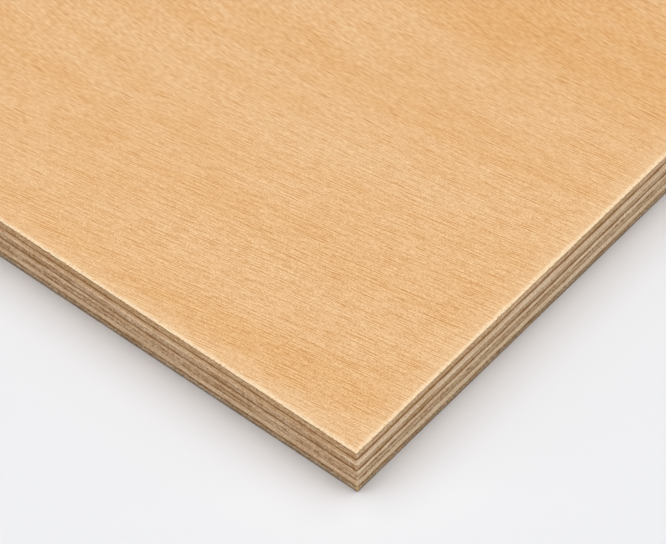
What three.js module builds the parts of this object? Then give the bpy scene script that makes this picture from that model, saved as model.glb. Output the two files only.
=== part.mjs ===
// Plywood sheet: seven rotary-peeled veneers glued together with their grain crossing from ply to
// ply, sawn square as one panel and sanded, with all of its sharp edges eased.
//
// Millimetres. +X runs along the sheet's length, which is also the grain of its two faces, +Y runs
// across it and +Z is up. The origin is the middle of the underside.

import * as THREE from 'three';

// ---- driving dimensions ----

// The panel, as sawn.
const sheetLength = 2440;
const sheetWidth = 1220;

// The veneers, from the face down. The ones under the two faces are the crossbands.
const faceVeneerThickness = 2.8;
const upperCrossbandThickness = 2.9;
const upperInnerPlyThickness = 2.3;
const centrePlyThickness = 2.5;
const lowerInnerPlyThickness = 2.5;
const lowerCrossbandThickness = 2.3;
const backVeneerThickness = 2.7;

// Sanding rounds the long arrises of the face and the back, and the four upright corners.
const faceArrisRadius = 0.3;
const backArrisRadius = 0.3;
const cornerRadius = 0.5;

// How finely the round stretches are faceted.
const arrisSteps = 4;
const cornerSteps = 4;

// ---- materials ----

// A veneer whose grain lies along the sheet is darker than a crossband, because every sawn edge
// shows the two kinds differently; the face is the cleanest and warmest wood of all.
function veneerMaterial(name, colour, roughness) {
  return new THREE.MeshStandardMaterial({ name, color: colour, roughness, metalness: 0, flatShading: true });
}

const faceWood = veneerMaterial('face_wood', 0xe9b985, 0.55);
const crossbandWood = veneerMaterial('crossband_wood', 0xbc9c78, 0.8);
const innerWood = veneerMaterial('inner_wood', 0xa58666, 0.8);
const backWood = veneerMaterial('back_wood', 0xd9ab7b, 0.65);

// ---- geometry ----

// The points of a rectangle with rounded corners, counter-clockwise seen from above. Each corner is
// a quarter circle about its own centre, from the start angle of that corner on.
function roundedRectangle(length, width, radius) {
  const halfLength = length / 2 - radius;
  const halfWidth = width / 2 - radius;
  const centres = [
    [halfLength, halfWidth],
    [-halfLength, halfWidth],
    [-halfLength, -halfWidth],
    [halfLength, -halfWidth],
  ];
  return centres.flatMap(([x, y], corner) =>
    Array.from({ length: cornerSteps + 1 }, (_, step) => {
      const angle = (corner + step / cornerSteps) * (Math.PI / 2);
      return new THREE.Vector2(x + radius * Math.cos(angle), y + radius * Math.sin(angle));
    }),
  );
}

// The levels of a veneer's side from bottom to top, each with how far its outline is set in there.
// An eased arris of radius r is a quarter circle: at the angle a its outline is in by r (1 - cos a),
// and it is r (1 - sin a) short of the surface.
function sideLevels(bottom, top, { bottomRadius = 0, topRadius = 0 }) {
  const arris = (radius, surface, direction) =>
    Array.from({ length: arrisSteps + 1 }, (_, step) => {
      const angle = (step / arrisSteps) * (Math.PI / 2);
      return {
        inset: radius * (1 - Math.cos(angle)),
        z: surface - direction * radius * (1 - Math.sin(angle)),
      };
    });
  const lower = bottomRadius > 0 ? arris(bottomRadius, bottom, -1).reverse() : [{ inset: 0, z: bottom }];
  const upper = topRadius > 0 ? arris(topRadius, top, 1) : [{ inset: 0, z: top }];
  return [...lower, ...upper];
}

// One closed solid through a stack of outlines that have equally many points: a flat cap at each
// end and a band of quads, each two triangles, between every two levels.
function loftedSolid(outlines, heights) {
  const count = outlines[0].length;
  const positions = outlines.flatMap((outline, level) =>
    outline.flatMap(point => [point.x, point.y, heights[level]]),
  );
  const indices = [];
  for (let level = 0; level + 1 < outlines.length; level++) {
    for (let i = 0; i < count; i++) {
      const here = level * count + i;
      const next = level * count + ((i + 1) % count);
      indices.push(here, next, next + count, here, next + count, here + count);
    }
  }
  const topStart = (outlines.length - 1) * count;
  for (const [a, b, c] of THREE.ShapeUtils.triangulateShape(outlines[0], [])) {
    indices.push(c, b, a);
  }
  for (const [a, b, c] of THREE.ShapeUtils.triangulateShape(outlines.at(-1), [])) {
    indices.push(topStart + a, topStart + b, topStart + c);
  }
  const geometry = new THREE.BufferGeometry();
  geometry.setAttribute('position', new THREE.Float32BufferAttribute(positions, 3));
  geometry.setIndex(indices);
  geometry.computeVertexNormals();
  return geometry;
}

// One veneer between two heights of the sheet.
function veneer(name, bottom, top, material, radii) {
  const levels = sideLevels(bottom, top, radii);
  const outlines = levels.map(({ inset }) =>
    roundedRectangle(sheetLength - 2 * inset, sheetWidth - 2 * inset, cornerRadius),
  );
  const mesh = new THREE.Mesh(loftedSolid(outlines, levels.map(level => level.z)), material);
  mesh.name = name;
  return mesh;
}

// ---- lay-up ----

// From the underside up. Each veneer starts at the very height where the one below it ends, so the
// glued faces are one and the same plane.
const layUp = [
  { name: 'back_veneer', thickness: backVeneerThickness, material: backWood,
    radii: { bottomRadius: backArrisRadius } },
  { name: 'lower_crossband', thickness: lowerCrossbandThickness, material: crossbandWood, radii: {} },
  { name: 'lower_inner_ply', thickness: lowerInnerPlyThickness, material: innerWood, radii: {} },
  { name: 'centre_ply', thickness: centrePlyThickness, material: crossbandWood, radii: {} },
  { name: 'upper_inner_ply', thickness: upperInnerPlyThickness, material: innerWood, radii: {} },
  { name: 'upper_crossband', thickness: upperCrossbandThickness, material: crossbandWood, radii: {} },
  { name: 'face_veneer', thickness: faceVeneerThickness, material: faceWood,
    radii: { topRadius: faceArrisRadius } },
];

const sheet = new THREE.Group();
sheet.name = 'plywood_sheet';
let height = 0;
for (const ply of layUp) {
  const top = height + ply.thickness;
  sheet.add(veneer(ply.name, height, top, ply.material, ply.radii));
  height = top;
}

export default sheet;
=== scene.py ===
"""A plywood sheet: seven glued veneers with a tan, sanded face and sawn edges that show every ply.

Each veneer is one surface worked out with numpy on the box of its CAD node, with the relief of a
sawn edge. Its wood is a node material on object coordinates. Meshes, lights and camera are in
metres; the patterns of the wood are in millimetres.
"""

import math
from typing import NamedTuple

import bpy
import numpy as np
from mathutils import Matrix, Vector


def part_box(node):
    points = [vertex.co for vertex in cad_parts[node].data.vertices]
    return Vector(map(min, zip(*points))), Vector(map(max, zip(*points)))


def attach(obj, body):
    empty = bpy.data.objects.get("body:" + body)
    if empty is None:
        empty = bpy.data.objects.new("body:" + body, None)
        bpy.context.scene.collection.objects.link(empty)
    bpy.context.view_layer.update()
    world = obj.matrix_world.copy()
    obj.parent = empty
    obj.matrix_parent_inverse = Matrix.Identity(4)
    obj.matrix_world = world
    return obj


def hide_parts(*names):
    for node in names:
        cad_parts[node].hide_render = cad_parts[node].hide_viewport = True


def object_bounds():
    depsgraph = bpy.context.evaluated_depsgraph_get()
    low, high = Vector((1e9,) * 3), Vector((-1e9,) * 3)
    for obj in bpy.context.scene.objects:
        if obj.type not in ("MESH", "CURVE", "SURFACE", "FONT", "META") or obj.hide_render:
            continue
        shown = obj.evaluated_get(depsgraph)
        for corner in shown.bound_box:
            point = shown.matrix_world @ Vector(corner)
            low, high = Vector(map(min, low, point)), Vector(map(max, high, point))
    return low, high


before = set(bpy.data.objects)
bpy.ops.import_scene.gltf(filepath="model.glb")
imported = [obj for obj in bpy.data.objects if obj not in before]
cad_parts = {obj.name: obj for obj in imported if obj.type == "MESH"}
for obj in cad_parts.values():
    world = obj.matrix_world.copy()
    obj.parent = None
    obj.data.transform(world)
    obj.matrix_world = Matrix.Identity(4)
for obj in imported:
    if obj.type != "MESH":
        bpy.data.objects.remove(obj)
cad_low, cad_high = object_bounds()

MM = 0.001
HALF_LENGTH, HALF_WIDTH = cad_high.x, cad_high.y
THICKNESS = cad_high.z
HALF_LENGTH_MM, HALF_WIDTH_MM, THICKNESS_MM = HALF_LENGTH / MM, HALF_WIDTH / MM, THICKNESS / MM


# ---------------------------------------------------------------------------------------------
# The outline of the sheet
# ---------------------------------------------------------------------------------------------

CORNER_RADIUS = 0.5 * MM
CORNER_STEPS = 4
FINE_STEP, COARSE_STEP = 0.6 * MM, 3.0 * MM
FINE_REACH = 160 * MM            # how far from a corner the fine steps go


def side_stations(length):
    """Distances along one straight side: FINE_STEP apart near both ends, COARSE_STEP between them."""
    near = np.arange(0, FINE_REACH, FINE_STEP)
    steps = round((length - 2 * FINE_REACH) / COARSE_STEP)
    middle = np.linspace(FINE_REACH, length - FINE_REACH, steps + 1)
    return np.concatenate([near, middle, length - near[:0:-1]])


def sheet_outline():
    """The outline as columns, counter-clockwise from the middle of the corner at -X, -Y: points,
    outward normals, distance along the path, the path's length, and the place round the sheet, where
    side k runs from k to k + 1. A side is p = start + d * direction, and a corner is a quarter circle
    about its centre."""
    sides = (
        ((-1, -1), (1, 0), 2 * HALF_LENGTH),
        ((1, -1), (0, 1), 2 * HALF_WIDTH),
        ((1, 1), (-1, 0), 2 * HALF_LENGTH),
        ((-1, 1), (0, -1), 2 * HALF_WIDTH),
    )
    points, normals = [], []
    for corner, direction, length in sides:
        direction = np.array(direction, float)
        outward = np.array([direction[1], -direction[0]])
        corner = np.array(corner, float) * (HALF_LENGTH, HALF_WIDTH)
        centre = corner + (direction - outward) * CORNER_RADIUS
        still_to_turn = np.linspace(math.pi / 2, 0, CORNER_STEPS + 1)[:-1]
        angles = math.atan2(outward[1], outward[0]) - still_to_turn
        turned = np.stack([np.cos(angles), np.sin(angles)], 1)
        distance = side_stations(length - 2 * CORNER_RADIUS)[:-1]
        straight = corner + direction * (CORNER_RADIUS + distance[:, None])
        points += [centre + turned * CORNER_RADIUS, straight]
        normals += [turned, np.broadcast_to(outward, straight.shape)]
    points, normals = np.concatenate(points), np.concatenate(normals)
    points = np.roll(points, -(CORNER_STEPS // 2), 0)
    normals = np.roll(normals, -(CORNER_STEPS // 2), 0)
    gaps = np.linalg.norm(np.roll(points, -1, 0) - points, axis=1)
    along = np.concatenate([[0], np.cumsum(gaps)[:-1]])
    return points, normals, along, gaps.sum(), place_round(points)


def place_round(points):
    """Where points near the outline lie round the sheet: the number of the side plus the share of
    that side, from 0 to 4. A point belongs to the side that it is nearest, or to the later one of
    two that are equally near. The first point is where the sides start, at 0."""
    x, y = points.T
    to_side = np.stack([y + HALF_WIDTH, HALF_LENGTH - x, HALF_WIDTH - y, x + HALF_LENGTH])
    share = np.stack([
        (x + HALF_LENGTH) / (2 * HALF_LENGTH), (y + HALF_WIDTH) / (2 * HALF_WIDTH),
        (HALF_LENGTH - x) / (2 * HALF_LENGTH), (HALF_WIDTH - y) / (2 * HALF_WIDTH),
    ])
    tie_break = 1e-9
    side = np.argmin(to_side - tie_break * np.arange(4)[:, None], 0)
    place = side + share[side, np.arange(len(x))]
    place[0] = 0
    return np.maximum.accumulate(place)


OUTLINE, OUTWARD, ALONG, ROUND_TOTAL, ROUND_PLACE = sheet_outline()


def ripple(pitch, seed):
    """A smooth random number from -1 to 1 for each column of the outline. One number is drawn for
    each knot of the closed path, a pitch apart. A column at the share f of the way from one knot to
    the next is at f * f * (3 - 2 f) of the way between their numbers."""
    knots = np.random.default_rng(seed).uniform(-1, 1, round(ROUND_TOTAL / pitch))
    place = ALONG / ROUND_TOTAL * len(knots)
    knot = np.floor(place).astype(int)
    f = place - knot
    f = f * f * (3 - 2 * f)
    return knots[knot % len(knots)] * (1 - f) + knots[(knot + 1) % len(knots)] * f


# ---------------------------------------------------------------------------------------------
# Veneers
# ---------------------------------------------------------------------------------------------

# The relief of the sawn edges: the slow wander of the saw, the fibres, and the groove at each glue
# line, which fades over a distance. Each goes from no depth to twice the one here.
WANDER_DEPTH, WANDER_PITCH = 0.03 * MM, 45 * MM
FIBRE_DEPTH, FIBRE_PITCH = 0.018 * MM, 1.4 * MM
GROOVE_DEPTH, GROOVE_PITCH, GROOVE_FADE = 0.01 * MM, 5 * MM, 0.12 * MM

# The eased arrises of the face and the back. Their radius wanders by two shares of itself, each
# with its pitch.
ARRIS_RADIUS = 0.3 * MM
ARRIS_STEPS = 4
ARRIS_WANDER = ((0.15, 2.2 * MM), (0.12, 0.9 * MM))

# Seeds. The wander of the saw is one draw, which all plies share. A veneer's fibres have a seed for
# each level, and a glue line's groove has one for its height in tenths of a mm.
WANDER_SEED = 11
FIBRE_SEEDS = 20
GROOVE_SEED = 500
BACK_ARRIS_SEED, FACE_ARRIS_SEED = 70, 80

SHOULDER = (0.10 * MM, 0.30 * MM)   # distances of the shoulder's levels from a glue line
MIDDLE_LEVELS = 3                   # levels of a sawn edge between its shoulders
CAP_MARGIN = 12 * MM                # the strip of triangles between the outline and a cap's grid
CAP_CELL = 40 * MM
SHARP_ANGLE = math.radians(50)      # past which an edge of the mesh isn't shaded smooth


def sawn_relief(heights, bottom, top, seed):
    """How far in the sawn edge stands, for every level and column. It is the sum of the wander of
    the saw; the fibres, drawn anew for each level; and a groove at either glue line that falls off
    as exp(-distance / GROOVE_FADE) from it."""
    wander = WANDER_DEPTH * (1 + ripple(WANDER_PITCH, WANDER_SEED))
    fibres = [
        FIBRE_DEPTH * (1 + ripple(FIBRE_PITCH, seed * FIBRE_SEEDS + level))
        for level in range(len(heights))
    ]
    relief = wander + np.array(fibres)
    for glue_line_height in (bottom, top):
        tenths = round(glue_line_height / MM * 10)
        depth = GROOVE_DEPTH * (1 + ripple(GROOVE_PITCH, GROOVE_SEED + tenths))
        fade = np.exp(-abs(heights - glue_line_height) / GROOVE_FADE)
        relief = relief + depth * fade[:, None]
    return relief


def eased_arris(surface, upward, seed):
    """The rounded arris at a surface as rows of insets and of heights. Its radius r wanders along the
    edge: at angle a a row is in by r (1 - cos a) and short of the surface by r (1 - sin a)."""
    wander = sum(
        share * ripple(pitch, seed + number) for number, (share, pitch) in enumerate(ARRIS_WANDER))
    radius = ARRIS_RADIUS * (1 + wander)
    angle = np.linspace(0, math.pi / 2, ARRIS_STEPS + 1)[:, None]
    return radius * (1 - np.cos(angle)), surface - upward * radius * (1 - np.sin(angle))


def cap_grid():
    """A flat grid CAP_MARGIN inside the outline: points, quads, the grid's own rim, which is
    counter-clockwise from its -X, -Y corner, and the rim's places round the sheet."""
    reach_x, reach_y = HALF_LENGTH - CAP_MARGIN, HALF_WIDTH - CAP_MARGIN
    across = np.linspace(-reach_x, reach_x, round(2 * reach_x / CAP_CELL) + 1)
    up = np.linspace(-reach_y, reach_y, round(2 * reach_y / CAP_CELL) + 1)
    grid_x, grid_y = np.meshgrid(across, up)
    points = np.stack([grid_x.ravel(), grid_y.ravel()], 1)
    number = np.arange(grid_x.size).reshape(grid_x.shape)
    quads = np.stack([number[:-1, :-1], number[:-1, 1:], number[1:, 1:], number[1:, :-1]], -1)
    rim = np.concatenate([number[0, :-1], number[:-1, -1], number[-1, :0:-1], number[:0:-1, 0]])
    rows, columns = grid_x.shape
    rim_place = np.concatenate([
        side + np.arange(count - 1) / (count - 1)
        for side, count in enumerate((columns, rows, columns, rows))
    ])
    return points, quads.reshape(-1, 4), rim, rim_place


def zipped(outer, outer_place, inner, inner_place):
    """Triangles between two closed rings whose points have places from 0 to 4 round the sheet. Each
    ring's edge takes the last point of the other ring that comes before the edge's far end."""
    outer_ends, inner_ends = np.append(outer_place[1:], 4), np.append(inner_place[1:], 4)
    beside_outer = np.searchsorted(inner_place, outer_ends, "left") - 1
    beside_inner = np.searchsorted(outer_place, inner_ends, "right") - 1
    beside_inner[-1] = 0
    outward = np.stack([outer, np.roll(outer, -1), inner[beside_outer]], 1)
    inward = np.stack([outer[beside_inner], np.roll(inner, -1), inner], 1)
    return np.concatenate([outward, inward])


def veneer_surface(bottom, top, on_floor, on_top, seed):
    """One closed veneer: rings of columns from the bottom to the top, with caps. A ring's point is
    outline - outward * inset at its height. The eased arris of the lowest and of the topmost veneer
    takes the place of the shoulder there. Returns vertices, quads and triangles."""
    shoulder = np.array([0, *SHOULDER])
    low, high = bottom + shoulder, top - shoulder[::-1]
    middle = np.linspace(low[-1], high[0], MIDDLE_LEVELS + 2)[1:-1]
    heights = np.concatenate([low, middle, high])
    insets = sawn_relief(heights, bottom, top, seed)
    levels = np.repeat(heights[:, None], len(OUTLINE), 1)
    shoulder_end = len(SHOULDER)
    if on_floor:
        arris, arris_levels = eased_arris(bottom, -1, seed + BACK_ARRIS_SEED)
        insets = np.concatenate([arris[::-1] + insets[shoulder_end], insets[shoulder_end + 1:]])
        levels = np.concatenate([arris_levels[::-1], levels[shoulder_end + 1:]])
    if on_top:
        arris, arris_levels = eased_arris(top, 1, seed + FACE_ARRIS_SEED)
        insets = np.concatenate([insets[:-shoulder_end - 1], arris + insets[-shoulder_end - 1]])
        levels = np.concatenate([levels[:-shoulder_end - 1], arris_levels])
    plan = OUTLINE[None] - OUTWARD[None] * insets[..., None]
    rings = np.concatenate([plan, levels[..., None]], -1).reshape(-1, 3)
    columns, ring_count = len(OUTLINE), len(levels)
    here = np.arange((ring_count - 1) * columns).reshape(-1, columns)
    beyond = np.roll(here, -1, 1)
    quads = [np.stack([here, beyond, beyond + columns, here + columns], -1).reshape(-1, 4)]
    triangles, vertices = [], [rings]
    grid, grid_quads, rim, rim_place = cap_grid()
    # A turn of -1 reverses the order of a face's corners, so that the lower cap faces down.
    for ring, height, turn in ((0, bottom, -1), (ring_count - 1, top, 1)):
        start = sum(len(part) for part in vertices)
        vertices.append(np.column_stack([grid, np.full(len(grid), height)]))
        outer = ring * columns + np.arange(columns)
        quads.append((grid_quads + start)[:, ::turn])
        triangles.append(zipped(outer, ROUND_PLACE, rim + start, rim_place)[:, ::turn])
    return np.concatenate(vertices), np.concatenate(quads), np.concatenate(triangles)


def mesh_object(name, vertices, quads, triangles):
    """A mesh object at the origin from arrays of points, quads and triangles, smooth but for its
    arrises."""
    mesh = bpy.data.meshes.new(name)
    corners = np.concatenate([quads.ravel(), triangles.ravel()]).astype(np.int32)
    sizes = np.concatenate([np.full(len(quads), 4), np.full(len(triangles), 3)])
    starts = np.concatenate([[0], np.cumsum(sizes)[:-1]]).astype(np.int32)
    mesh.vertices.add(len(vertices))
    mesh.vertices.foreach_set("co", vertices.astype(np.float32).ravel())
    mesh.loops.add(len(corners))
    mesh.loops.foreach_set("vertex_index", corners)
    mesh.polygons.add(len(sizes))
    mesh.polygons.foreach_set("loop_start", starts)
    mesh.polygons.foreach_set("use_smooth", np.ones(len(sizes), bool))
    mesh.update(calc_edges=True)
    mesh.validate()
    mesh.set_sharp_from_angle(angle=SHARP_ANGLE)
    made = bpy.data.objects.new(name, mesh)
    bpy.context.scene.collection.objects.link(made)
    return made


# ---------------------------------------------------------------------------------------------
# Wiring of materials
# ---------------------------------------------------------------------------------------------

WOOD_ROUGHNESS = 0.6
WOOD_SPECULAR = 0.2
GRAIN_DEPTH = 0.006 * MM         # what a height of 1 stands for in the bump
SEED_STEP = 17.3                 # how far apart in the noise two seeds of the sawn edges are
CORNER_TURN = (-0.5, 0.5)        # mm, over which a long edge gives way to an end


class Value:
    """A number that varies over a surface: an output socket whose operators add Math nodes."""

    def __init__(self, look, socket):
        self.look, self.socket = look, socket

    def maths(self, operation, *inputs):
        made = self.look.node("ShaderNodeMath", inputs, operation=operation)
        return Value(self.look, made.outputs[0])

    def __add__(self, other):
        return self.maths("ADD", self, other)

    __radd__ = __add__

    def __sub__(self, other):
        return self.maths("SUBTRACT", self, other)

    def __rsub__(self, other):
        return self.maths("SUBTRACT", other, self)

    def __mul__(self, other):
        return self.maths("MULTIPLY", self, other)

    __rmul__ = __mul__

    def __truediv__(self, other):
        return self.maths("DIVIDE", self, other)

    def __rtruediv__(self, other):
        return self.maths("DIVIDE", other, self)

    def __abs__(self):
        return self.maths("ABSOLUTE", self)

    def sine(self):
        return self.maths("SINE", self)

    def least(self, other):
        return self.maths("MINIMUM", self, other)

    def most(self, other):
        return self.maths("MAXIMUM", self, other)

    def ramp(self, low, high):
        """0 below low and 1 above high, with a smooth step between them."""
        made = self.look.node(
            "ShaderNodeMapRange", [self, low, high], interpolation_type="SMOOTHSTEP")
        return Value(self.look, made.outputs[0])


class Tint:
    """A colour that varies over a surface: it goes through Mix nodes and Vector Math."""

    def __init__(self, look, socket):
        self.look, self.socket = look, socket

    def towards(self, other, amount):
        """amount of the way from this colour to the other."""
        return self.look.blend(self, other, amount)

    def deepened(self, losses, amount):
        """The colour with a share of each channel taken away: channel * (1 - loss * amount)."""
        left = self.look.blend((1.0, 1.0, 1.0), tuple(1 - loss for loss in losses), amount)
        made = self.look.node("ShaderNodeVectorMath", [self, left], operation="MULTIPLY")
        return Tint(self.look, made.outputs[0])


class Wiring:
    """A node tree while it is being wired. Every node of it comes from node()."""

    def __init__(self, tree):
        self.tree = tree
        tree.nodes.clear()

    def node(self, kind, inputs=(), **settings):
        """Adds a node. Its settings are set first, then the values or links of its input sockets,
        which are given in order or as a dictionary from a socket's number or name."""
        made = self.tree.nodes.new(kind)
        for name, setting in settings.items():
            setattr(made, name, setting)
        for key, value in inputs.items() if isinstance(inputs, dict) else enumerate(inputs):
            if isinstance(value, (Value, Tint)):
                value = value.socket
            if isinstance(value, bpy.types.NodeSocket):
                self.tree.links.new(value, made.inputs[key])
            else:
                made.inputs[key].default_value = value
        return made


class Look(Wiring):
    """A wood material, with places in millimetres: x, y and z, the distances from the nearer end
    and from the nearer long side, and on_end, which is 0 on the long edges and 1 on the ends."""

    def __init__(self, name):
        self.material = bpy.data.materials.new(name)
        self.material.use_nodes = True
        super().__init__(self.material.node_tree)
        place = self.node("ShaderNodeTexCoord").outputs["Object"]
        parts = self.node("ShaderNodeSeparateXYZ", [place]).outputs
        self.x, self.y, self.z = (Value(self, socket) / MM for socket in parts)
        self.from_end = HALF_LENGTH_MM - abs(self.x)
        self.from_side = HALF_WIDTH_MM - abs(self.y)
        self.on_end = (self.from_side - self.from_end).ramp(*CORNER_TURN)

    def by_edge(self, pair):
        """The first of a pair of numbers on the long edges, and the second on the ends."""
        return self.on_end * (pair[1] - pair[0]) + pair[0]

    def blend(self, first, second, amount):
        """A Mix node between two colours; a plain colour is a tuple of three numbers."""
        first, second = ((*c, 1) if isinstance(c, tuple) else c for c in (first, second))
        made = self.node("ShaderNodeMix", {0: amount, 6: first, 7: second}, data_type="RGBA")
        return Tint(self, made.outputs[2])

    def noise(self, x, y, z, detail=0.0):
        """Smooth noise about 0, mostly within 0.25 of it, at a point whose units are one feature of
        the noise."""
        place = self.node("ShaderNodeCombineXYZ", [x, y, z]).outputs[0]
        made = self.node("ShaderNodeTexNoise", {"Vector": place, "Scale": 1.0, "Detail": detail})
        return Value(self, made.outputs[0]) - 0.5

    def edge_noise(self, length, height, seed, detail=0.0):
        """Noise on the sawn edges, with features of a length along the edge and of a height."""
        level = self.z / height + seed * SEED_STEP
        return self.noise(self.x / length, self.y / length, level, detail)

    def finish(self, colour, height):
        """A matt wood surface: a Principled shader with a bump."""
        bump = self.node("ShaderNodeBump", {
            "Height": height, "Distance": GRAIN_DEPTH, "Strength": 1.0})
        shader = self.node("ShaderNodeBsdfPrincipled", {
            "Base Color": colour, "Roughness": WOOD_ROUGHNESS,
            "Specular IOR Level": WOOD_SPECULAR, "Normal": bump.outputs[0]})
        self.node("ShaderNodeOutputMaterial", [shader.outputs[0]])
        return self.material


# ---------------------------------------------------------------------------------------------
# Wood of the face and the back
# ---------------------------------------------------------------------------------------------

# The grain sweeps sideways. Near the corner at +X, -Y it is shifted across by SWEEP * sin(phase),
# where the phase grows with the distance from that corner, and beyond the corner's reach by a loose
# noise of its own. Lengths are in mm.
SWEEP = 25.0
SWEEP_ALONG, SWEEP_ACROSS = -0.0095, 0.0130    # radians of phase for each mm
SWEEP_START = -3.9
SWEEP_WANDER, SWEEP_FEATURE = 1.5, (800, 600)  # radians, and the size of the features of the noise
LOOSE_SWEEP, LOOSE_FEATURE = 230.0, (620, 420)
CORNER_REACH = (330, 1100)                     # where the one begins to give way, and where it has

# The palest wood, and what the darkest clouds, streaks and fibres take away from its red, green and
# blue. Then how deep each of them is on average.
FACE_COLOUR = (0.975, 0.720, 0.443)
CLOUD_LOSS = (0.17, 0.46, 0.94)
STREAK_LOSS = (0.15, 0.55, 0.98)
FACE_FIBRE_LOSS = (0.33, 0.55, 0.77)
CLOUD_MEAN, STREAK_MEAN, FACE_FIBRE_MEAN = 0.156, 0.14, 0.45

# Dashes show where their noise passes an edge, and hairlines show more there. The mean of each is
# taken off, so that it leaves the tone of the wood alone.
DASH_EDGE, DASH_MEAN = 0.08, 0.029
HAIRLINE_EDGE, HAIRLINE_MEAN = 0.12, 0.077

# The finest grain is full near the sheet's four corners. The distance in from a corner is a share of
# the distance from the end plus a share of the distance from the side. In mm, the finest grain
# begins to fade at the first and is gone at the second.
END_SHARE, SIDE_SHARE = 0.66, 0.75
CRISP_REACH = (60, 178)

FACE_BUMP = -0.3                 # how high the grain stands, in GRAIN_DEPTH: what is darker is deeper


def grain_places(look, seed):
    """Places along and across the grain of a face veneer, in mm."""
    corner_x, corner_y = look.x - HALF_LENGTH_MM, look.y + HALF_WIDTH_MM
    wander_x, wander_y = SWEEP_FEATURE
    wander = look.noise(look.x / wander_x, look.y / wander_y, seed) * SWEEP_WANDER
    phase = corner_x * SWEEP_ALONG + corner_y * SWEEP_ACROSS + wander + SWEEP_START
    loose_x, loose_y = LOOSE_FEATURE
    loose = look.noise(look.x / loose_x, look.y / loose_y, seed + 0.7, detail=1.0) * LOOSE_SWEEP
    near, beyond = phase.sine() * SWEEP, (corner_y - corner_x).ramp(*CORNER_REACH)
    return look.x, look.y - near - (loose - near) * beyond


def face_wood(look, seed):
    """The colour and the height of a peeled and sanded face, from noise stretched along the grain.
    Clouds, bands, mottling and stripes change its tone. Streaks, dashes and fibres lie on them,
    with hairlines and pores near the corners, and with flecks in their place further in."""
    along, across = grain_places(look, seed)
    crisp = 1.0 - (look.from_end * END_SHARE + look.from_side * SIDE_SHARE).ramp(*CRISP_REACH)

    def grain(length, width, start, detail=0.0):
        """Noise with features of a length along the grain and a width across it. Each kind of
        grain starts elsewhere in the noise."""
        return look.noise(along / length, across / width, seed + start, detail)

    def strength(near, beyond):
        """How strong a grain is: near the corners, and beyond their reach."""
        return crisp * (near - beyond) + beyond

    figure = grain(700, 42, 1.3, detail=1.0)
    cloud = grain(110, 50, 1.9, detail=1.0)
    long_band = grain(250, 14, 2.3)
    short_band = grain(50, 12, 2.9)
    mottle = grain(30, 6.5, 3.7)
    stripe = grain(15, 1.4, 4.3)
    clouds = figure * 0.48 + cloud * 0.20 + long_band * 0.12 + short_band * 0.10 + CLOUD_MEAN
    clouds += mottle * strength(0.16, 0.29) + stripe * strength(0.09, 0.25)

    streak = grain(15, 0.6, 4.9)
    short_streak = grain(8, 0.6, 9.1)
    streaks = (streak * 0.23 + short_streak * 0.18) * strength(0.45, 0.80) + STREAK_MEAN

    dash = grain(4.5, 0.25, 7.7)
    line = grain(10, 0.28, 6.1)
    dashes = (dash + line * 0.8 - DASH_EDGE).most(0.0) - DASH_MEAN
    # A hairline is noise less the same noise half a feature to the side, so it has no broad tone.
    hair_along, hair_across = along / 9, across / 0.5
    beside = look.noise(hair_along, hair_across + 0.5, seed + 6.7)
    hairline = look.noise(hair_along, hair_across, seed + 6.7) - beside
    hairlines = hairline * 0.9 + (hairline - HAIRLINE_EDGE).most(0.0) * 3.0 - HAIRLINE_MEAN
    fibre = grain(1.6, 0.24, 5.3)
    pore = grain(0.4, 0.2, 8.3)
    fleck = grain(2.2, 0.8, 3.1)
    fibres = dashes * strength(2.1, 1.1) + hairlines * crisp + FACE_FIBRE_MEAN
    fibres += fibre * strength(0.7, 0.3) + pore * strength(2.0, 0.0) + fleck * strength(0.0, 0.6)

    clouded = tuple(channel * (1 - loss) for channel, loss in zip(FACE_COLOUR, CLOUD_LOSS))
    colour = look.blend(FACE_COLOUR, clouded, clouds)
    colour = colour.deepened(STREAK_LOSS, streaks).deepened(FACE_FIBRE_LOSS, fibres)
    return colour, (fibre + dash + streak) * FACE_BUMP


# ---------------------------------------------------------------------------------------------
# Wood of the sawn edges
# ---------------------------------------------------------------------------------------------

class Ply(NamedTuple):
    """How a veneer looks where it is sawn. Each pair is for the long edges and for the ends. Where a
    glue line is raised, the wood below it reaches up with it, over the joint."""
    colour: tuple                  # a pair of colours, the average over the edge
    losses: tuple                  # what its deepest fibres take from its red, green and blue
    fibre: tuple                   # a pair, the strength of its fibres
    fibre_height: float            # mm
    streak: float                  # the strength of its streaks
    drift: float                   # the strength of its drifts in tone
    drift_height: float            # mm
    tone: float                    # the strength of its slowest changes of tone
    glue: tuple = (0.0, 0.0)       # a pair, how unbroken the glue line below it is
    glue_rise: tuple = (0.0, 0.0)  # a pair, how far that line lies above the joint, mm
    stain: float = 0.0             # how much darker it is under the glue line above it


PALE_LOSS = (0.405, 0.60, 0.70)
DARK_LOSS = (0.445, 0.60, 0.80)
DRIFT_LOSS = (0.39, 0.53, 0.75)
STAIN_LOSS = (0.33, 0.50, 0.70)
FIBRE_MEAN, DRIFT_MEAN = 0.38, 0.30   # how deep an average fibre and an average drift are
GLUE_COLOUR = (0.235, 0.088, 0.006)
# The upright corners: paler rubbed wood with a painted highlight on it.
RUBBED_HIGHLIGHT_COLOUR = (0.92, 0.65, 0.41)
FIBRE_BUMP, STREAK_BUMP = -0.7, -0.3   # how high fibres and streaks stand, in GRAIN_DEPTH

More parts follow.
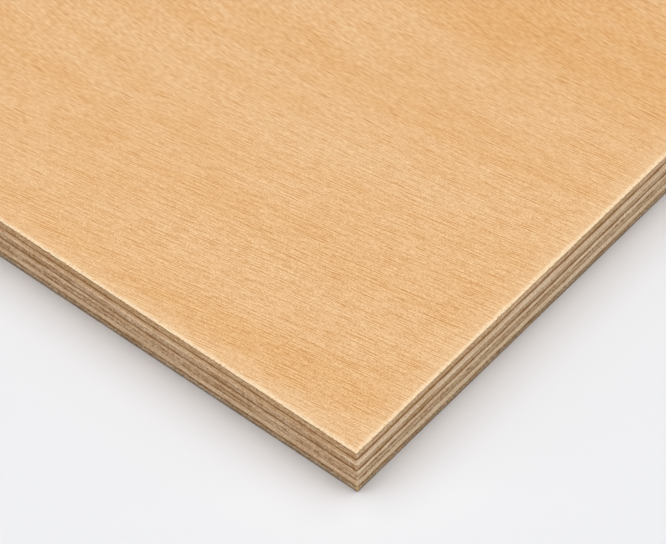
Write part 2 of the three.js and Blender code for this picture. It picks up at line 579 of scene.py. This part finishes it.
PLIES = {
    "face_veneer": Ply(
        colour=((0.575, 0.351, 0.177), (0.565, 0.371, 0.205)), losses=DARK_LOSS,
        fibre=(3.8, 4.6), fibre_height=0.55, streak=0.4, drift=0.9, drift_height=1.1, tone=0.8,
        glue=(1.15, 1.6), glue_rise=(-0.14, 0.03)),
    "upper_crossband": Ply(
        colour=((0.745, 0.518, 0.311), (0.748, 0.554, 0.360)), losses=PALE_LOSS,
        fibre=(2.9, 2.2), fibre_height=0.45, streak=0.55, drift=1.0, drift_height=1.0, tone=1.3,
        glue_rise=(0.45, 0.40), stain=0.58),
    "upper_inner_ply": Ply(
        colour=((0.526, 0.333, 0.184), (0.530, 0.358, 0.208)), losses=DARK_LOSS,
        fibre=(4.4, 3.2), fibre_height=0.65, streak=1.1, drift=1.4, drift_height=1.0, tone=1.3,
        glue=(1.8, 1.45), glue_rise=(-0.10, -0.03)),
    "centre_ply": Ply(
        colour=((0.622, 0.416, 0.240), (0.719, 0.536, 0.354)), losses=PALE_LOSS,
        fibre=(3.3, 2.2), fibre_height=0.4, streak=0.8, drift=1.1, drift_height=0.6, tone=1.2,
        glue=(0.55, 0.75), glue_rise=(0.10, 0.06)),
    "lower_inner_ply": Ply(
        colour=((0.529, 0.336, 0.185), (0.500, 0.338, 0.194)), losses=DARK_LOSS,
        fibre=(4.8, 4.4), fibre_height=0.6, streak=1.35, drift=1.4, drift_height=1.4, tone=1.4,
        glue=(0.6, 0.55), glue_rise=(0.56, 0.34)),
    "lower_crossband": Ply(
        colour=((0.682, 0.477, 0.291), (0.729, 0.558, 0.373)), losses=PALE_LOSS,
        fibre=(3.0, 2.3), fibre_height=0.3, streak=0.6, drift=0.6, drift_height=1.1, tone=0.5,
        glue=(1.2, 0.55), glue_rise=(0.08, -0.2)),
    "back_veneer": Ply(
        colour=((0.485, 0.335, 0.203), (0.420, 0.283, 0.162)), losses=DARK_LOSS,
        fibre=(5.0, 8.6), fibre_height=0.45, streak=1.4, drift=1.0, drift_height=1.0, tone=0.5),
}

# Places on the sawn edges, in mm.
TALL = 40.0                      # a feature so high that it hardly changes over a glue line
STAIN_REACH = (-2.6, -1.2)       # from the glue line above: where the stain begins, and is full
SOAKED_REACH = (0.2, 1.5)        # from the joint below: where the soaked wood fades, and has faded
RAISED_EDGE = (-0.36, -0.24)     # from a raised glue line: where the wood below it ends
RUBBED_HIGHLIGHT_REACH = (0.05, 0.65)      # from an upright corner: where the rubbed wood and its painted highlight fade, and have faded


def palest(colour, losses):
    """The wood that has a colour once average fibres and drifts lie on it: each channel divided by
    1 - loss * mean, for the fibres and for the drifts."""
    return tuple(
        channel / (1 - fibre_loss * FIBRE_MEAN) / (1 - drift_loss * DRIFT_MEAN)
        for channel, fibre_loss, drift_loss in zip(colour, losses, DRIFT_LOSS))


def glue_line(look, height, ply):
    """How much glue shows below a ply: a dashed line whose width, strength and level vary along the
    edge. It is wider on the ends of the sheet, and its level wanders more there."""
    glue, end = look.by_edge(ply.glue), look.on_end
    width = (look.edge_noise(3.0, TALL, height) * 0.35 + glue * 0.05 + 0.26) * (end * 0.35 + 1.0)
    slow = look.edge_noise(14.0, TALL, height + 3) * 1.4
    dashes = look.edge_noise(1.4, TALL, height + 5, detail=1.0)
    shown = (dashes * 2.2 + slow + glue * 1.4 - 0.5).least(1.0).most(0.0) * (dashes + 1.0)
    wander = look.edge_noise(9.0, TALL, height + 9, detail=1.0) * (end * 0.5 + 0.4)
    from_line = abs(look.z - height - (wander + look.by_edge(ply.glue_rise)))
    return (1.0 - (from_line / width).ramp(0.45, 1.3)) * shown


def sawn_wood(look, name, bottom, top, ply_below, ply_above):
    """The colour and the height of a veneer's sawn edge, between two heights in mm. Fibres, dashes
    and grit are fine, and streaks, drifts, tone and glue that has soaked in are slow. Then come the
    stain under the glue line above, the wood below a raised glue line, the rubbed corners with their
    painted highlight, and the glue lines themselves."""
    ply, end = PLIES[name], look.on_end
    seed = bottom + 1.0
    fibre = look.edge_noise(0.8, ply.fibre_height, seed, detail=1.0)
    dash = look.edge_noise(6.0, 0.3, seed + 6)
    grit = look.edge_noise(0.4, 0.35, seed + 5)
    streak = look.edge_noise(14.0, 0.35, seed + 1, detail=1.0)
    drift = look.edge_noise(15.0, ply.drift_height, seed + 2, detail=1.0)
    tone = look.edge_noise(32.0, 5.0, seed + 7)
    fine = (fibre * 0.65 + dash * 0.3) * look.by_edge(ply.fibre) + grit * 1.1 + FIBRE_MEAN
    slow = streak * (ply.streak * 1.15) + drift * (ply.drift * 0.6) + DRIFT_MEAN
    slow += tone * (1.0 - end * 0.4) * ply.tone
    if any(ply.glue):
        above_joint = look.z - bottom + look.edge_noise(2.0, 1.0, seed + 4)
        soaked = 1.0 - above_joint.ramp(*SOAKED_REACH)
        slow += soaked * look.by_edge(ply.glue) * (end * 0.27 + 0.12)

    side_wood, end_wood = (palest(colour, ply.losses) for colour in ply.colour)
    colour = look.blend(side_wood, end_wood, end).deepened(ply.losses, fine)
    colour = colour.deepened(DRIFT_LOSS, slow)
    if ply.stain:
        from_top = look.z - top + look.edge_noise(12.0, 1.2, seed + 3, detail=1.0) * 2.6
        stain = from_top.ramp(*STAIN_REACH) * (1.0 - end * 0.65) * ply.stain
        colour = colour.deepened(STAIN_LOSS, stain)
    if ply_below:
        from_line = look.z - bottom - look.by_edge(ply.glue_rise)
        wood_below = look.blend(*ply_below.colour, end)
        colour = colour.towards(wood_below, 1.0 - from_line.ramp(*RAISED_EDGE))
    from_corner = look.from_end.most(look.from_side) - end * 0.15
    # Paler rubbed wood and a painted highlight along each upright corner.
    rubbed_and_highlit = 1.0 - (from_corner + look.edge_noise(1.2, 1.5, 3.0)).ramp(*RUBBED_HIGHLIGHT_REACH)
    colour = colour.towards(RUBBED_HIGHLIGHT_COLOUR, rubbed_and_highlit * 0.55)
    for height, ply_over in ((bottom, ply), (top, ply_above)):
        if ply_over and any(ply_over.glue):
            glue = glue_line(look, height, ply_over) * (1.0 - rubbed_and_highlit * 0.2)
            colour = colour.towards(GLUE_COLOUR, glue)
    return colour, fibre * FIBRE_BUMP + streak * STREAK_BUMP


# ---------------------------------------------------------------------------------------------
# Arrises and foot
# ---------------------------------------------------------------------------------------------

# The sanded arris, from the face outwards: a faint halo of painted highlight, the pale band, which is
# paler sanded wood with a painted highlight on it, and a rim of painted shade, a dark line on the
# sawn edge below it. Places are in mm, inwards from the arris. A reach is where each begins to fade
# and where it has faded. At FACE_EDGE the sawn wood gives way to the wood of the face.
SANDED_HIGHLIGHT_COLOUR = (0.975, 0.740, 0.482)
RIM_SHADE_COLOUR = (0.17, 0.085, 0.030)
HIGHLIGHT_HALO_REACH = (1.5, 9.0)
SANDED_HIGHLIGHT_REACH = (0.55, 1.80)
RIM_PLACE, RIM_WIDTH, RIM_FADE = -0.20, 0.28, (0.2, 1.0)
FACE_EDGE = (-0.05, 0.08)

# The lowest veneer's specks, its foot with dirt and painted contact shade, and the painted golden
# highlights on its corners.
SPECK_COLOUR = (0.10, 0.085, 0.055)
DIRT_AND_SHADE_COLOUR = (0.16, 0.132, 0.107)
GOLDEN_HIGHLIGHT_COLOUR = (0.76, 0.48, 0.16)
SPECK_EDGE = (0.03, 0.20)
DIRT_AND_SHADE_REACH = (0.2, 1.7)
GOLDEN_REACH = (0.1, 0.8)
GOLDEN_HEIGHT, GOLDEN_FADE = 1.6, (0.5, 1.6)


def add_face(look, sawn, sawn_height, surface, seed):
    """Covers the sheet's face or back with face wood, and its arris with a pale sanded band that
    carries a painted highlight, with a faint halo of painted highlight further in and a rim of
    painted shade below it. The place across the arris is the distance in from the edge less the
    distance short of the surface.
    On the ends of the sheet the band reaches a little further in, and the rim is fainter."""
    end = look.on_end
    inward = look.from_end.least(look.from_side) - abs(look.z - surface)
    wander = look.noise(look.x / 24, look.y / 24, seed, detail=2.0)
    ragged = look.noise(look.x / 3, look.y / 3, seed + 2, detail=1.0)
    grit = look.noise(look.x / 0.8, look.y / 0.8, seed + 9)
    colour, height = face_wood(look, seed)
    # The halo is a painted highlight: the face turns paler towards the arris.
    highlight_halo = 1.0 - (inward + ragged * 4.0).ramp(*HIGHLIGHT_HALO_REACH)
    colour = colour.towards(SANDED_HIGHLIGHT_COLOUR, highlight_halo * 0.2)
    # The band is paler sanded wood with a painted highlight along the arris.
    sanded_band_and_highlight = 1.0 - (inward - end * 0.08 + wander * 1.2 + ragged * 0.65).ramp(*SANDED_HIGHLIGHT_REACH)
    colour = colour.towards(SANDED_HIGHLIGHT_COLOUR, sanded_band_and_highlight * (grit * 1.8 + 0.86))
    place = inward + wander * 0.2 + ragged * 0.35 + grit * 0.6 + 0.07 - end * 0.13
    # The rim is painted shade: a dark line on the sawn edge just under the arris.
    rim = 1.0 - (abs(place - RIM_PLACE) / RIM_WIDTH).ramp(*RIM_FADE)
    rim *= grit * 4.0 + ragged * 4.0 + 0.65 - end * 0.3
    sawn = sawn.towards(RIM_SHADE_COLOUR, rim.most(0.0) * 0.75)
    on_face = place.ramp(*FACE_EDGE)
    return sawn.towards(colour, on_face), sawn_height + (height - sawn_height) * on_face


def speckled_foot(look, colour):
    """Dark specks all over the lowest veneer's sawn edge, dirt and painted contact shade at its foot,
    and a golden painted highlight at a height on each upright corner."""
    specks = look.edge_noise(0.7, 0.6, 21.0, detail=1.0).ramp(*SPECK_EDGE)
    ragged = look.edge_noise(3.0, 1.0, 23.0, detail=1.0) * 1.2
    # Dirt and painted shade where the sheet meets the floor: darker towards the bottom.
    dirt_and_shade = 1.0 - (look.z + ragged).ramp(*DIRT_AND_SHADE_REACH)
    # A golden painted highlight at a height on each upright corner.
    at_corner = 1.0 - look.from_end.most(look.from_side).ramp(*GOLDEN_REACH)
    at_height = 1.0 - abs(look.z - GOLDEN_HEIGHT).ramp(*GOLDEN_FADE)
    colour = colour.towards(SPECK_COLOUR, specks * 0.65)
    colour = colour.towards(DIRT_AND_SHADE_COLOUR, dirt_and_shade * look.by_edge((0.70, 0.41)))
    return colour.towards(GOLDEN_HIGHLIGHT_COLOUR, at_corner * at_height * 0.6)


BACK_SEED, FACE_SEED = 40.0, 3.0


def veneer_look(node, bottom, top, ply_below, ply_above):
    """The material of one veneer, which spans two heights in mm. The lowest one has the back of the
    sheet on it, and the topmost one the face."""
    look = Look(node)
    colour, height = sawn_wood(look, node, bottom, top, ply_below, ply_above)
    if not ply_below:
        colour = speckled_foot(look, colour)
        colour, height = add_face(look, colour, height, 0.0, BACK_SEED)
    if not ply_above:
        colour, height = add_face(look, colour, height, THICKNESS_MM, FACE_SEED)
    return look.finish(colour, height)


# ---------------------------------------------------------------------------------------------
# The sheet
# ---------------------------------------------------------------------------------------------

LAY_UP = sorted(PLIES, key=lambda name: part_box(name)[0].z)

for number, node in enumerate(LAY_UP):
    low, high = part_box(node)
    on_floor, on_top = number == 0, number == len(LAY_UP) - 1
    surface = veneer_surface(low.z, high.z, on_floor, on_top, number + 1)
    piece = mesh_object(node + "_wood", *surface)
    ply_below = None if on_floor else PLIES[LAY_UP[number - 1]]
    ply_above = None if on_top else PLIES[LAY_UP[number + 1]]
    wood = veneer_look(node, low.z / MM, high.z / MM, ply_below, ply_above)
    piece.data.materials.append(wood)
    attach(piece, "root")
    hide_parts(node)


# ---------------------------------------------------------------------------------------------
# Floor, light and camera
# ---------------------------------------------------------------------------------------------

FLOOR_COLOUR = (0.876, 0.880, 0.900)
FLOOR_REACH = 120.0              # m
FLOOR_DROP = 0.1 * MM


def studio_floor():
    """A wide pale floor just under the sheet: one square, from -FLOOR_REACH to FLOOR_REACH."""
    corners = FLOOR_REACH * np.array([(-1, -1), (1, -1), (1, 1), (-1, 1)], float)
    vertices = np.column_stack([corners, np.full(4, -FLOOR_DROP)])
    floor = mesh_object("floor", vertices, np.array([[0, 1, 2, 3]]), np.zeros((0, 3), int))
    material = bpy.data.materials.new("floor")
    material.use_nodes = True
    wiring = Wiring(material.node_tree)
    shader = wiring.node("ShaderNodeBsdfDiffuse", {"Color": (*FLOOR_COLOUR, 1)})
    wiring.node("ShaderNodeOutputMaterial", [shader.outputs[0]])
    floor.data.materials.append(material)


CAMERA_AZIMUTH, CAMERA_ELEVATION, CAMERA_ROLL = 41.208, 49.113, -1.546   # degrees
CAMERA_DISTANCE = 929.6 * MM
CAMERA_AIM = Vector((HALF_LENGTH - 48.26 * MM, -HALF_WIDTH + 47.14 * MM, THICKNESS + 0.07 * MM))
CAMERA_LENS, SENSOR_WIDTH = 171.82, 36.0         # in mm, as the camera data wants them
CAMERA_CLIP = (0.05, 500.0)                      # m


def towards(azimuth, elevation):
    """The unit vector from the origin at an azimuth, where 0 is -Y and 90 is +X, and an elevation."""
    a, e = math.radians(azimuth), math.radians(elevation)
    return Vector((math.sin(a) * math.cos(e), -math.cos(a) * math.cos(e), math.sin(e)))


def camera():
    """A long lens that looks down on the corner at +X, -Y."""
    data = bpy.data.cameras.new("camera")
    data.lens, data.sensor_width = CAMERA_LENS, SENSOR_WIDTH
    data.clip_start, data.clip_end = CAMERA_CLIP
    made = bpy.data.objects.new("camera", data)
    back = towards(CAMERA_AZIMUTH, CAMERA_ELEVATION)
    a, roll = math.radians(CAMERA_AZIMUTH), math.radians(CAMERA_ROLL)
    level = Vector((math.cos(a), math.sin(a), 0))
    upright = back.cross(level)
    right = math.cos(roll) * level + math.sin(roll) * upright
    up = math.cos(roll) * upright - math.sin(roll) * level
    turned = Matrix((right, up, back)).transposed().to_4x4()
    made.matrix_world = Matrix.Translation(CAMERA_AIM + back * CAMERA_DISTANCE) @ turned
    bpy.context.scene.collection.objects.link(made)
    bpy.context.scene.camera = made


def softbox(name, azimuth, elevation, width, strength):
    """A far soft lamp: a sun that is width degrees wide."""
    data = bpy.data.lights.new(name, "SUN")
    data.energy, data.angle = strength, math.radians(width)
    made = bpy.data.objects.new(name, data)
    made.rotation_mode = "QUATERNION"
    made.rotation_quaternion = towards(azimuth, elevation).to_track_quat("Z", "Y")
    bpy.context.scene.collection.objects.link(made)


# Azimuth from the camera's, elevation and width in degrees, and strength, of the lamp on the right
# of each pair; the one on the left is its mirror image.
HIGH_LAMP = (115.0, 65.0, 50.0, 1.34)
LOW_LAMP = (75.0, 14.0, 40.0, 0.92)
AMBIENT = 0.08


def studio_light():
    """A high and a low pair of soft lamps, left and right of the camera, and a faint even sky. Looked
    at, mirrored or seen through glass, the sky is as pale as the floor."""
    for name, (azimuth, *rest) in (("high_lamp", HIGH_LAMP), ("low_lamp", LOW_LAMP)):
        softbox(name + "_left", CAMERA_AZIMUTH - azimuth, *rest)
        softbox(name + "_right", CAMERA_AZIMUTH + azimuth, *rest)
    world = bpy.data.worlds.new("studio")
    world.use_nodes = True
    bpy.context.scene.world = world
    wiring = Wiring(world.node_tree)
    ray = wiring.node("ShaderNodeLightPath").outputs
    seen_or_mirrored = wiring.node(
        "ShaderNodeMath", [ray["Is Camera Ray"], ray["Is Glossy Ray"]], operation="MAXIMUM")
    looked_at = wiring.node(
        "ShaderNodeMath", [seen_or_mirrored.outputs[0], ray["Is Transmission Ray"]],
        operation="MAXIMUM")
    sky = wiring.node("ShaderNodeBackground", [(1, 1, 1, 1), AMBIENT])
    seen = wiring.node("ShaderNodeBackground", [(*FLOOR_COLOUR, 1), 1.0])
    mixed = wiring.node(
        "ShaderNodeMixShader", [looked_at.outputs[0], sky.outputs[0], seen.outputs[0]])
    wiring.node("ShaderNodeOutputWorld", [mixed.outputs[0]])


studio_floor()
camera()
studio_light()
bpy.context.scene.view_settings.view_transform = "Standard"
